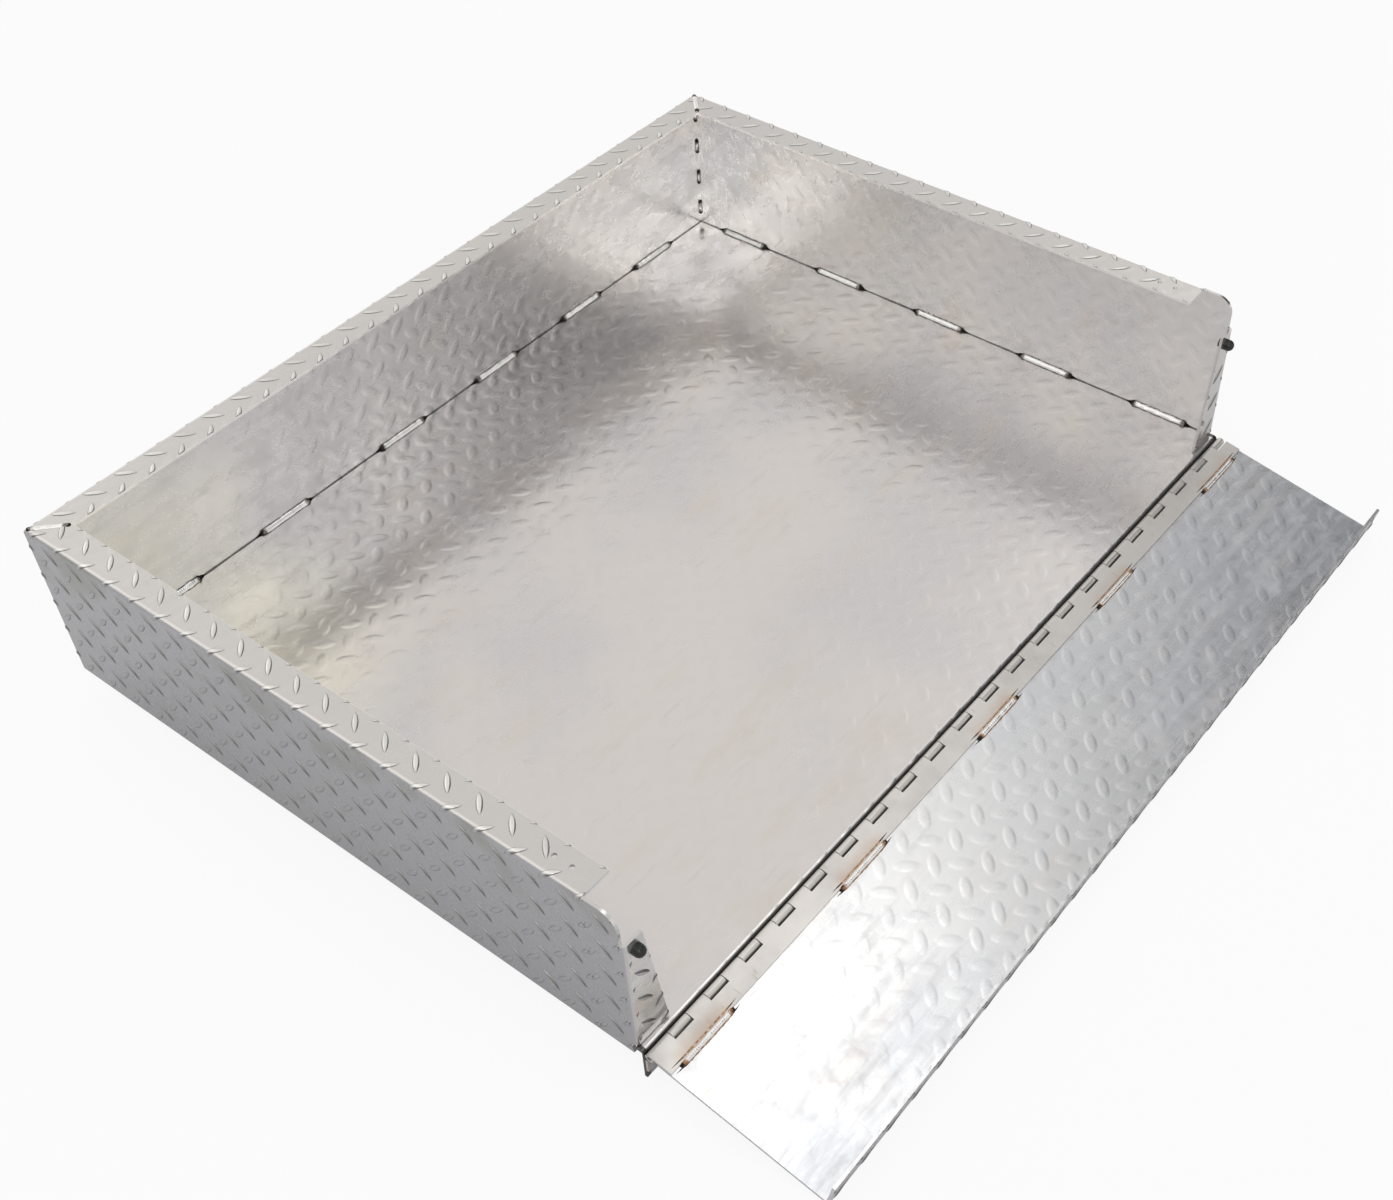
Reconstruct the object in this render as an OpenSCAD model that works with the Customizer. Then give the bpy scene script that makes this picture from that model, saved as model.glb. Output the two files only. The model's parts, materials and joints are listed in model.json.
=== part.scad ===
// Three-sided tray of bent tread plate with a drop gate on a continuous hinge.
// Frame: +X to the right, +Y towards the headboard, +Z up. The origin is on the ground,
// under the middle of the tray and its open gate.

/* [Tray] */
// Width over the side walls
tray_w = 1066; // [960:1:1200]
// Length of the side walls
tray_l = 800; // [600:1:900]
// Height of the walls
wall_h = 204; // [180:1:260]
// Height of the walls' bottom edge over the ground
wall_z = 30; // [25:1:45]
// Height of the floor's top over the walls' bottom edge
floor_rise = 12; // [8:0.5:20]
// Thickness of the plate
sheet = 3.2; // [2.5:0.1:3.6]
// Inside radius of the bends
bend_r = 1.6; // [1:0.1:2.4]

/* [Lips and end flanges] */
// Width of the lip along the top of each wall and of the gate
lip_w = 36; // [30:1:45]
// Length of each side wall that has no lip, at its front
lip_gap = 43; // [40:1:60]
// Radius of the side walls' front top corners
corner_r = 20; // [10:1:30]
// Width of the end flange at its top
flange_top_w = 24; // [22:1:40]
// Width of the end flange at its bottom
flange_bottom_w = 44; // [30:1:60]
// Distance from the walls' top to the flange's top
flange_drop = 37; // [30:1:60]
// Gap between the flange's bottom and the floor
flange_lift = 2; // [1:0.5:4]

/* [Floor] */
// How far the floor's front edge stands in front of the end flanges
floor_reach = 8; // [6:0.5:12]

/* [Hinge] */
// Outside radius of the barrel
barrel_r = 4.8; // [4.4:0.1:5]
// Thickness of the leaves
leaf_t = 2.4; // [2:0.1:2.6]
// Width of each leaf from the pin's centre
leaf_w = 25.4; // [20:0.1:32]
// Length of one knuckle
knuckle = 25.4; // [20:0.1:30]
// Centre of the first knuckle on the tray's leaf, from the left end
first_knuckle = 41.5; // [35:0.5:45]
// Gap between two knuckles
knuckle_gap = 0.5; // [0.3:0.1:1]
// Radial clearance between the pin and the gate's knuckles
pin_clearance = 0.05; // [0.02:0.01:0.1]

/* [Gate] */
// Height of the closed gate's lip over the top of the side walls
gate_clearance = 3; // [0.5:0.1:6]
// Distance from the pin's centre to the gate panel's near edge
panel_start = 9.6; // [9.2:0.1:14]

/* [Bumpers] */
// Radius of the rubber head
bumper_r = 6.5; // [5:0.1:8]
// Radius of the stem and of its hole
bumper_stem_r = 4; // [3:0.1:4.5]
// Distance from the bumper's centre to the flange's top
bumper_down = 14; // [12:1:30]
// Distance from the bumper's centre to the wall's outer face
bumper_in = 14; // [13:1:20]
// Gap between the bumper and the closed gate
bumper_clearance = 0.3; // [0.2:0.1:1]

/* [Latch holes] */
// Radius of the holes near the front of each lip
latch_hole_r = 2.75; // [2:0.25:4]
// Distance between the two holes
latch_spacing = 20; // [15:1:30]
// Distance from the wall's front end to the middle of the pair
latch_y = 80; // [75:1:120]

/* [Runners] */
// Distance from the tray's middle to each runner's leg
runner_x = 333; // [200:1:400]
// Width of the runner's foot
runner_foot = 50; // [40:1:60]
// Distance from each end of the side walls to the runner's end
runner_inset = 80; // [50:1:120]
// Radius of the bolt holes in the feet
runner_hole_r = 4.5; // [3:0.5:6]
// Distance between a foot's two bolt holes
runner_hole_spacing = 500; // [300:10:550]

/* [Welds] */
// Leg of the fillets in the tray's corners
weld_leg = 5; // [3:0.5:6]
// Length of a stitch
stitch = 77; // [60:1:90]
// Centres of the stitches along the headboard, from the left wall's face
back_stitches = [126, 291, 481, 647, 809, 956];
// First stitch along each side wall, from its front end
side_stitch_first = 70; // [60:1:90]
// Pitch of the stitches along each side wall
side_stitch_pitch = 162; // [140:1:165]
// First stitch along the hinge, from its left end
hinge_stitch_first = 50; // [45:1:60]
// Pitch of the stitches along the hinge
hinge_stitch_pitch = 240; // [200:1:240]
// Length of a tack in the upright corners
tack = 22; // [15:1:30]
// Number of tacks in each upright corner
tacks = 4; // [2:1:5]

/* [Hidden] */
$fn = 48;

half_w = tray_w / 2;
outer_r = bend_r + sheet;
floor_z = wall_z + floor_rise;
past = 1;                                   // how far a cutter runs past what it cuts

// The hinge: its barrel stands just clear of the floor's front flange, flush with the floor.
pin_r = barrel_r - leaf_t;
leaf_offset = barrel_r + 0.3;
axis_z = floor_z - barrel_r;
slot_end = barrel_r + 2;
slot_ease = 0.4;

// The gate, in its own frame: u runs out from the pin, v towards the gate's inner side.
panel_v = pin_r - sheet;
gate_l = wall_z + wall_h - axis_z + sheet + gate_clearance;
// The open gate rests on the ground on the bend at its far edge.
bend_u = gate_l - outer_r;
bend_v = panel_v + outer_r;
gate_droop = asin((axis_z - outer_r) / norm([bend_u, bend_v])) + atan(bend_v / bend_u);
gate_reach = gate_l * cos(gate_droop) + (panel_v + lip_w) * sin(gate_droop);

// Front ends of the side walls, placed so that tray and open gate are centred on the origin.
y_front = -(tray_l - floor_reach - leaf_offset - gate_reach) / 2;
y_back = y_front + tray_l;
flange_y = y_front - floor_reach;
axis_y = flange_y - leaf_offset;
bumper_h = floor_reach + leaf_offset - pin_r - bumper_clearance;

flange_z0 = floor_z + flange_lift;
flange_z1 = wall_z + wall_h - flange_drop;
bumper_z = flange_z1 - bumper_down;

knuckle_pitch = 2 * knuckle;
knuckles = floor((tray_w - first_knuckle + knuckle / 2 - past) / knuckle_pitch) + 1;
side_stitches = [for (y = [side_stitch_first : side_stitch_pitch : tray_l - stitch / 2]) y];
hinge_stitches = [for (x = [hinge_stitch_first : hinge_stitch_pitch : tray_w - stitch / 2]) x];

plate_colour = "silver";
weld_colour = "whitesmoke";

// ---- outlines and extrusions ----

// Extrudes an outline drawn in X and Z from y0 to y1.
module along_y(y0, y1) {
  translate([0, y1, 0]) rotate([90, 0, 0]) linear_extrude(y1 - y0) children();
}

// Extrudes an outline drawn in Y and Z from x0 to x1.
module along_x(x0, x1) {
  translate([x0, 0, 0]) rotate([90, 0, 90]) linear_extrude(x1 - x0) children();
}

// Quarter ring of a bend, centred on the origin and filling the quadrant of -x and +y.
module bend() {
  difference() {
    intersection() {
      circle(outer_r);
      translate([-outer_r, 0]) square(outer_r);
    }
    circle(bend_r);
  }
}

// Quarter disc in the quadrant of +x and +y, which is a fillet weld's section.
module fillet(leg) {
  intersection() {
    circle(leg);
    square(leg);
  }
}

// An upright web from 0 to height with a lip bent over at its top, towards +x.
module bent_section(height, lip) {
  square([sheet, height - outer_r]);
  translate([outer_r, height - outer_r]) bend();
  translate([outer_r, height - sheet]) square([lip - outer_r, sheet]);
}

module at_right() {
  mirror([1, 0, 0]) children();
}

// Places what is drawn in the gate's own frame, with u along -Y, at the open gate.
module on_gate() {
  translate([0, axis_y, axis_z]) rotate([gate_droop, 0, 0]) children();
}

// ---- tray ----

module floor_pan() {
  color(plate_colour) {
    translate([-half_w + sheet, flange_y + outer_r, floor_z - sheet])
      cube([tray_w - 2 * sheet, tray_l + floor_reach - outer_r - sheet, sheet]);
    along_x(-half_w, half_w) {
      translate([flange_y, 0]) bent_section(floor_z, floor_reach + 2);
    }
  }
}

// Triangle that reaches back from the rear left corner, on one side of the mitre.
module mitre_cut(points) {
  translate([-half_w, y_back, wall_z - past]) linear_extrude(wall_h + 2 * past) polygon(points);
}

module headboard() {
  reach = 2 * lip_w;
  color(plate_colour) difference() {
    along_x(-half_w, half_w)
      translate([y_back, wall_z]) mirror([1, 0]) bent_section(wall_h, lip_w);
    mitre_cut([[0, 0], [-past, 0], [-past, -reach], [reach, -reach]]);
    at_right() mitre_cut([[0, 0], [-past, 0], [-past, -reach], [reach, -reach]]);
  }
}

// Flange across the front end of the left wall, bent about an upright line.
module end_flange() {
  translate([-half_w + outer_r, y_front + outer_r, flange_z0])
    linear_extrude(flange_z1 - flange_z0) mirror([0, 1]) bend();
  along_y(y_front, y_front + sheet)
    polygon([[-half_w + outer_r, flange_z0], [-half_w + flange_bottom_w, flange_z0],
             [-half_w + flange_top_w, flange_z1], [-half_w + outer_r, flange_z1]]);
}

// Rounds the front top corner of the left wall.
module corner_cut() {
  along_x(-half_w - past, -half_w + sheet + past)
    translate([y_front + outer_r + corner_r, wall_z + wall_h - corner_r]) difference() {
      translate([-corner_r - past, 0]) square(corner_r + past);
      circle(corner_r);
    }
}

module bumper_hole() {
  translate([-half_w + bumper_in, y_front - past, bumper_z])
    rotate([-90, 0, 0]) cylinder(h = sheet + 2 * past, r = bumper_stem_r);
}

module latch_holes() {
  for (side = [-1, 1])
    translate([-half_w + (lip_w + sheet) / 2, y_front + latch_y + side * latch_spacing / 2,
               wall_z + wall_h - sheet - past])
      cylinder(h = sheet + 2 * past, r = latch_hole_r);
}

module side_wall() {
  reach = 2 * lip_w;
  color(plate_colour) difference() {
    union() {
      along_y(y_front + lip_gap, y_back) translate([-half_w, wall_z]) bent_section(wall_h, lip_w);
      along_y(y_front + outer_r, y_front + lip_gap) translate([-half_w, wall_z]) square([sheet, wall_h]);
      end_flange();
    }
    mitre_cut([[0, 0], [0, past], [reach, past], [reach, -reach]]);
    corner_cut();
    bumper_hole();
    latch_holes();
  }
}

module side_wall_left() {
  side_wall();
}

module side_wall_right() {
  at_right() side_wall();
}

// Angle under the floor with its foot on the ground, turned towards the middle.
module runner() {
  color(plate_colour) difference() {
    along_y(y_front + runner_inset, y_back - runner_inset)
      translate([-runner_x, floor_z - sheet]) mirror([0, 1]) bent_section(floor_z - sheet, runner_foot);
    for (side = [-1, 1])
      translate([-runner_x + runner_foot / 2, (y_front + y_back + side * runner_hole_spacing) / 2, -past])
        cylinder(h = sheet + 2 * past, r = runner_hole_r);
  }
}

module runner_left() {
  runner();
}

module runner_right() {
  at_right() runner();
}

// Domed head, stem through the flange and a bulb that holds it from behind, drawn about +Z.
module bumper() {
  bulb_r = bumper_stem_r + 1.5;
  dome_z = bumper_h - bumper_r;
  color("dimgray") translate([-half_w + bumper_in, y_front, bumper_z]) rotate([90, 0, 0])
    rotate_extrude() {
      square([bumper_r, dome_z]);
      intersection() {
        translate([0, dome_z]) circle(bumper_r);
        translate([0, dome_z]) square(bumper_r);
      }
      translate([0, -sheet]) square([bumper_stem_r - 0.1, sheet]);
      translate([0, -sheet - 4]) square([bulb_r, 4]);
    }
}

module bumper_left() {
  bumper();
}

module bumper_right() {
  at_right() bumper();
}

// ---- hinge ----

// Cylinders along X from the left end, one for each span of knuckle.
module knuckles_at(spans, radius) {
  for (span = spans) {
    translate([span[0] - half_w, 0, 0]) rotate([0, 90, 0]) cylinder(h = span[1] - span[0], r = radius);
  }
}

// Spans of the knuckles on the tray's leaf and on the gate's, from the left end.
function tray_spans(ease) = [for (i = [0 : knuckles - 1])
  let (mid = first_knuckle + i * knuckle_pitch)
  [mid - knuckle / 2 - ease, min(mid + knuckle / 2 + ease, tray_w)]];
function gate_spans(ease) = [for (i = [0 : knuckles - 1])
  let (mid = first_knuckle + (i - 0.5) * knuckle_pitch)
  [i == 0 ? 0 : mid - knuckle / 2 - ease, mid + knuckle / 2 + ease]];

// Leaf that stands out from the pin along +y, with its outer face at the given offset in +z.
module leaf(offset, own_spans, other_spans, bore) {
  difference() {
    union() {
      translate([-half_w, 0, offset - leaf_t]) cube([tray_w, leaf_w, leaf_t]);
      knuckles_at(own_spans, barrel_r);
    }
    for (span = other_spans)
      translate([span[0] - half_w, -barrel_r - past, -barrel_r - past])
        cube([span[1] - span[0], barrel_r + past + slot_end, 2 * (barrel_r + past)]);
    translate([-half_w - past, 0, 0]) rotate([0, 90, 0]) cylinder(h = tray_w + 2 * past, r = bore);
  }
}

module hinge_leaf_tray() {
  color("gainsboro") translate([0, axis_y, axis_z]) rotate([-90, 0, 0])
    leaf(leaf_offset, tray_spans(-knuckle_gap / 2), gate_spans(slot_ease), pin_r);
}

module hinge_leaf_gate() {
  color("gainsboro") on_gate() mirror([0, 1, 0])
    leaf(barrel_r, gate_spans(-knuckle_gap / 2), tray_spans(slot_ease), pin_r + pin_clearance);
}

module hinge_pin() {
  color("slategray") translate([-half_w, axis_y, axis_z]) rotate([0, 90, 0]) cylinder(h = tray_w, r = pin_r);
}

// ---- gate ----

module gate_panel() {
  color(plate_colour) on_gate() along_x(-half_w, half_w) mirror([1, 0]) {
    translate([panel_start, panel_v]) square([bend_u - panel_start, sheet]);
    translate([bend_u, bend_v]) rotate(180) bend();
    translate([gate_l - sheet, bend_v]) square([sheet, lip_w - outer_r]);
  }
}

// ---- welds ----

module floor_welds_back() {
  color(weld_colour) for (x = back_stitches)
    along_x(x - half_w - stitch / 2, x - half_w + stitch / 2)
      translate([y_back - sheet, floor_z]) mirror([1, 0]) fillet(weld_leg);
}

module floor_welds() {
  color(weld_colour) for (y = side_stitches)
    along_y(y_front + y - stitch / 2, y_front + y + stitch / 2)
      translate([-half_w + sheet, floor_z]) fillet(weld_leg);
}

module floor_welds_left() {
  floor_welds();
}

module floor_welds_right() {
  at_right() floor_welds();
}

// Low bead on top of the lips, along the mitre.
module mitre_weld() {
  crown_r = 5;
  crown = 1;
  inset = 5;
  color(weld_colour) translate([-half_w, y_back, wall_z + wall_h]) rotate([0, 0, -45])
    along_x(inset, lip_w * sqrt(2) - inset) intersection() {
      translate([0, crown - crown_r]) circle(crown_r);
      translate([-crown_r, 0]) square([2 * crown_r, crown_r]);
    }
}

module mitre_weld_left() {
  mitre_weld();
}

module mitre_weld_right() {
  at_right() mitre_weld();
}

// Upright tacks where the headboard meets the side wall.
module corner_tacks() {
  pitch = (wall_h - floor_rise - outer_r) / tacks;
  color(weld_colour) for (i = [0 : tacks - 1])
    translate([-half_w + sheet, y_back - sheet, floor_z + (i + 0.5) * pitch - tack / 2])
      linear_extrude(tack) mirror([0, 1]) fillet(weld_leg - 1);
}

module corner_tacks_left() {
  corner_tacks();
}

module corner_tacks_right() {
  at_right() corner_tacks();
}

// Stitches along the outer side of a runner's leg, under the floor.
module runner_welds() {
  color(weld_colour) for (y = side_stitches)
    if (y > runner_inset + stitch / 2 && y < tray_l - runner_inset - stitch / 2)
      along_y(y_front + y - stitch / 2, y_front + y + stitch / 2)
        translate([-runner_x, floor_z - sheet]) rotate(180) fillet(weld_leg);
}

module runner_welds_left() {
  runner_welds();
}

module runner_welds_right() {
  at_right() runner_welds();
}

// Stitches under the lower edge of the tray's leaf.
module hinge_welds_tray() {
  color(weld_colour) for (x = hinge_stitches)
    along_x(x - half_w - stitch / 2, x - half_w + stitch / 2)
      translate([flange_y, axis_z - leaf_w]) rotate(180) fillet(leaf_t);
}

// Stitches along the outer edge of the gate's leaf.
module hinge_welds_gate() {
  color(weld_colour) on_gate() for (x = hinge_stitches)
    along_x(x - half_w - stitch / 2, x - half_w + stitch / 2)
      translate([-leaf_w, pin_r]) mirror([1, 0]) fillet(leaf_t);
}

floor_pan();
headboard();
side_wall_left();
side_wall_right();
runner_left();
runner_right();
bumper_left();
bumper_right();
hinge_leaf_tray();
hinge_pin();
hinge_leaf_gate();
gate_panel();
floor_welds_back();
floor_welds_left();
floor_welds_right();
mitre_weld_left();
mitre_weld_right();
corner_tacks_left();
corner_tacks_right();
runner_welds_left();
runner_welds_right();
hinge_welds_tray();
hinge_welds_gate();
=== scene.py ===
"""Looks for the tread plate tray with its drop gate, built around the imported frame.

The CAD sheets, hinge and bumpers stay and get procedural materials. The tread's raised lugs and the
rippled weld beads are meshes of their own, placed from the CAD nodes' boxes.
"""

import json
import math
import random

import bmesh
import bpy
import numpy as np
from mathutils import Euler, Matrix, Vector


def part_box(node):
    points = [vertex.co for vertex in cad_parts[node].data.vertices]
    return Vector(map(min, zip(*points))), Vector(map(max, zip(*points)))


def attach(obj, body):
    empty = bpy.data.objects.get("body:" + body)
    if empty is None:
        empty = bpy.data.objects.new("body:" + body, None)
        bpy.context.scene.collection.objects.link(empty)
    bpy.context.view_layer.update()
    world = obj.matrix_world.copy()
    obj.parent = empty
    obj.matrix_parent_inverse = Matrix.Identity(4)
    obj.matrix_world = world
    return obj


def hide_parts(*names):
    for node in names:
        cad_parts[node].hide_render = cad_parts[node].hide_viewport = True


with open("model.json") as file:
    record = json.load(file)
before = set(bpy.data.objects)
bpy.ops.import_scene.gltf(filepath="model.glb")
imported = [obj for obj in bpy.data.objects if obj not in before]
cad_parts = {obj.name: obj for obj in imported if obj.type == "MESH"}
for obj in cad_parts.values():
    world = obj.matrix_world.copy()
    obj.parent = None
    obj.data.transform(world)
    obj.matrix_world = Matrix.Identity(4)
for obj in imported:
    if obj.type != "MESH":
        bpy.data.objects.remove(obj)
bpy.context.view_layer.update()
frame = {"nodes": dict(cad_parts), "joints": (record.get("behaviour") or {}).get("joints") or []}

MM = 0.001

# ---------------------------------------------------------------- measures from the frame

SHEET = 3.2 * MM
BEND = 4.8 * MM                      # outside radius of a bend
ARC = BEND * math.pi / 2             # length of the outer face round a bend
PITCH = 39.0 * MM                    # the tread's lattice
LUG_LENGTH = 27.5 * MM
LUG_WIDTH = 7.0 * MM
LUG_HEIGHT = 1.2 * MM
LUG_SINK = 0.25 * MM                 # how far a lug's underside lies inside the plate

wall_low, wall_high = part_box("side_wall_left")
head_low, head_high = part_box("headboard")
floor_low, floor_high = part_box("floor_pan")
gate_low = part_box("gate_panel")[0]

HALF_W = -wall_low.x
FRONT, BACK = wall_low.y, wall_high.y
WALL_Z, TOP_Z = wall_low.z, wall_high.z
FLOOR_Z = floor_high.z
LIP = head_high.y - head_low.y

hinge = frame["joints"][0]
AXIS = Vector(hinge["pos_m"])
GATE_DROOP = math.radians(hinge["range_deg"][1] - 90)
PANEL_OUTER = -0.8 * MM              # height of the gate panel's outer face over the pin's centre
PANEL_INNER = 2.4 * MM
LEAF_WIDTH = 25.4 * MM
GATE_TURN = Matrix.Rotation(GATE_DROOP, 4, "X")


def on_gate(x, u, v):
    """Point at x, u out from the pin and v towards the gate's inner side, at the open gate."""
    return AXIS + GATE_TURN @ Vector((x - AXIS.x, -u, v))


gate_reach = AXIS.y - gate_low.y
lip_rise = PANEL_OUTER + LIP
GATE_LENGTH = (gate_reach - lip_rise * math.sin(GATE_DROOP)) / math.cos(GATE_DROOP)


# ---------------------------------------------------------------- shader helpers

OBJECT_POINT, OBJECT_NORMAL = 3, 1    # outputs of a Texture Coordinate node
ATTRIBUTE_VALUE = 2                  # output of an Attribute node


class Shader:
    """A Principled material and short calls that add nodes to it."""

    def __init__(self, name, **sockets):
        self.material = bpy.data.materials.new(name)
        self.material.use_nodes = True
        self.tree = self.material.node_tree
        self.principled = self.tree.nodes["Principled BSDF"]
        for socket, value in sockets.items():
            self.set(socket.replace("_", " "), value)

    def set(self, socket, value):
        target = self.principled.inputs[socket]
        if isinstance(value, bpy.types.NodeSocket):
            self.tree.links.new(value, target)
        else:
            target.default_value = value

    def node(self, kind, output=0, inputs=(), **settings):
        made = self.tree.nodes.new(kind)
        for key, value in settings.items():
            setattr(made, key, value)
        for key, value in dict(inputs).items():
            if isinstance(value, bpy.types.NodeSocket):
                self.tree.links.new(value, made.inputs[key])
            else:
                made.inputs[key].default_value = value
        return made.outputs[output]

    def math(self, operation, *values, clamp=False):
        inputs = dict(enumerate(values))
        return self.node("ShaderNodeMath", inputs=inputs, operation=operation, use_clamp=clamp)

    def noise(self, vector, scale, detail=3.0, roughness=0.5):
        inputs = {"Vector": vector, "Scale": scale, "Detail": detail, "Roughness": roughness}
        return self.node("ShaderNodeTexNoise", inputs=inputs)

    def remap(self, value, low, high, to_low=0.0, to_high=1.0):
        inputs = {"Value": value, "From Min": low, "From Max": high, "To Min": to_low, "To Max": to_high}
        return self.node("ShaderNodeMapRange", inputs=inputs, interpolation_type="SMOOTHSTEP")

    def stretch(self, vector, scale, turn=(0, 0, 0)):
        inputs = {"Vector": vector, "Scale": scale, "Rotation": turn}
        return self.node("ShaderNodeMapping", inputs=inputs)

    def blend(self, factor, first, second):
        inputs = {0: factor, 6: first, 7: second}
        return self.node("ShaderNodeMix", output=2, inputs=inputs, data_type="RGBA")

    def bump(self, height, strength, distance, normal=None):
        inputs = {"Height": height, "Strength": strength, "Distance": distance}
        if normal is not None:
            inputs["Normal"] = normal
        return self.node("ShaderNodeBump", inputs=inputs)


def axis_of(shader, vector, index):
    """The x, y or z of a vector."""
    return shader.node("ShaderNodeSeparateXYZ", output=index, inputs={"Vector": vector})


def shade(tone, factor=1.0):
    """A colour for a socket from a tone, darkened by a factor."""
    return (*(factor * c for c in tone), 1)


def lug_relief(shader, a, b):
    """Soft height from 0 to 1 of the tread's lattice at two in-plane coordinates, in lattice pitches."""
    half_length = LUG_LENGTH / PITCH / 2
    half_width = 1.9 * LUG_WIDTH / PITCH / 2
    parts = []
    for shift, lean in ((0.5, 1.0), (0.0, -1.0)):
        da, db = (shader.math("SUBTRACT", shader.math("FRACT", shader.math("ADD", value, shift)), 0.5)
                  for value in (a, b))
        along = shader.math("ADD", da, shader.math("MULTIPLY", db, lean))
        across = shader.math("SUBTRACT", da, shader.math("MULTIPLY", db, lean))
        far = shader.math("POWER", shader.math("DIVIDE", along, half_length * math.sqrt(2)), 2.0)
        wide = shader.math("POWER", shader.math("DIVIDE", across, half_width * math.sqrt(2)), 2.0)
        parts.append(shader.remap(shader.math("ADD", far, wide), 0.0, 1.2, 1.0, 0.0))
    return shader.math("MAXIMUM", *parts)


def ghost_tread(shader, point, normal, origin):
    """The lattice that shows faintly through the plate's smooth side, on whichever plane a face lies in."""
    offset = shader.node("ShaderNodeVectorMath", inputs={0: point, 1: origin}, operation="SUBTRACT")
    axes = [shader.math("DIVIDE", axis_of(shader, offset, i), PITCH) for i in range(3)]
    total = None
    for skipped in range(3):
        a, b = (axes[i] for i in range(3) if i != skipped)
        weight = shader.math("GREATER_THAN", shader.math("ABSOLUTE", axis_of(shader, normal, skipped)), 0.7)
        relief = shader.math("MULTIPLY", weight, lug_relief(shader, a, b))
        total = relief if total is None else shader.math("ADD", total, relief)
    return total


COOL_FILM, WARM_FILM = (0.90, 0.915, 0.95), (0.97, 0.93, 0.89)    # tints over the bare plate
GHOST_TONE = (0.50, 0.50, 0.49, 1)
# Painted shade for the seams between the floor and the walls.
SEAM_SHADE = (0.07, 0.065, 0.06, 1)
# Painted shade for the valley over the hinge's barrel.
VALLEY_SHADE = (0.035, 0.034, 0.03, 1)
LIP_TONE = (0.68, 0.655, 0.635, 1)
OUTSIDE_SHADE_TONE = (0.52, 0.525, 0.545)
OLIVE_TONE = (0.40, 0.41, 0.36, 1)
EDGE_HIGHLIGHT_TONE = (0.96, 0.95, 0.93, 1)


def plate_material(name, tint=(0.80, 0.79, 0.775), origin=(0, 0, 0), turn=0.0, ghost=0.35, rough=0.23,
                   seed=0.0, marks=()):
    """Mill-finish plate: cloudy tone, oil-film tints, handling scratches and the tread's ghost from behind.
    marks are functions that take the shader, the point, the normal and the colour so far, and return a new
    colour."""
    shader = Shader(name, Metallic=0.92, Specular_IOR_Level=0.5)
    point = shader.node("ShaderNodeTexCoord", output=OBJECT_POINT)
    normal = shader.node("ShaderNodeTexCoord", output=OBJECT_NORMAL)
    flat, facing = point, normal
    if turn:
        flat = shader.node("ShaderNodeVectorRotate", rotation_type="X_AXIS",
                           inputs={"Vector": point, "Center": tuple(origin), "Angle": turn})
        facing = shader.node("ShaderNodeVectorRotate", rotation_type="X_AXIS",
                             inputs={"Vector": normal, "Angle": turn})
    shift = (seed, seed * 0.7, seed * 0.3)
    shifted = shader.node("ShaderNodeVectorMath", inputs={0: flat, 1: shift}, operation="ADD")

    clouds = shader.noise(shifted, 4.0, 3.0, 0.5)
    smears = shader.noise(shader.stretch(shifted, (3.0, 9.0, 6.0), (0, 0, 0.5)), 2.5, 4.0, 0.6)
    stains = shader.noise(shifted, 22.0, 5.0, 0.65)
    streaks = shader.noise(shader.stretch(shifted, (5.0, 34.0, 22.0)), 3.0, 4.0, 0.6)
    grain = shader.noise(shader.stretch(shifted, (6.0, 160.0, 160.0)), 9.0, 2.0, 0.6)
    scratch_a = shader.noise(shader.stretch(shifted, (3.0, 300.0, 60.0), (0, 0, 0.75)), 4.0, 1.0, 0.5)
    scratch_b = shader.noise(shader.stretch(shifted, (280.0, 4.0, 60.0), (0, 0, -0.4)), 4.0, 1.0, 0.5)
    pores = shader.noise(shifted, 700.0, 2.0, 0.6)
    relief = ghost_tread(shader, flat, facing, tuple(origin))

    cool = tuple(c * k for c, k in zip(tint, COOL_FILM))
    warm = tuple(c * k for c, k in zip(tint, WARM_FILM))
    colour = shader.blend(shader.remap(clouds, 0.40, 0.70), shade(tint), shade(cool))
    colour = shader.blend(shader.remap(smears, 0.52, 0.80, 0.0, 0.8), colour, shade(warm))
    colour = shader.blend(shader.remap(streaks, 0.56, 0.80, 0.0, 0.35), colour, shade(tint, 0.80))
    colour = shader.blend(shader.remap(stains, 0.64, 0.80, 0.0, 0.40), colour, shade(tint, 0.62))
    colour = shader.blend(shader.math("MULTIPLY", relief, 0.10 * ghost), colour, GHOST_TONE)
    for mark in marks:
        colour = mark(shader, point, normal, colour)
    shader.set("Base Color", colour)

    scratches = shader.math("MAXIMUM", shader.remap(scratch_a, 0.72, 0.78),
                            shader.remap(scratch_b, 0.73, 0.79))
    roughness = shader.math("ADD", rough, shader.remap(clouds, 0.3, 0.7, -0.05, 0.06))
    roughness = shader.math("ADD", roughness, shader.remap(stains, 0.5, 0.75, 0.0, 0.12))
    roughness = shader.math("ADD", roughness, shader.remap(streaks, 0.4, 0.7, -0.03, 0.05))
    roughness = shader.math("ADD", roughness, shader.math("MULTIPLY", scratches, -0.08))
    shader.set("Roughness", roughness)

    normal = shader.bump(pores, 0.06, 0.3 * MM)
    normal = shader.bump(grain, 0.05, 0.2 * MM, normal)
    normal = shader.bump(clouds, 0.10, 5 * MM, normal)
    normal = shader.bump(streaks, 0.07, 0.6 * MM, normal)
    normal = shader.bump(scratches, 0.15, 0.2 * MM, normal)
    normal = shader.bump(relief, ghost, 0.8 * MM, normal)
    shader.set("Normal", normal)
    return shader.material


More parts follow.
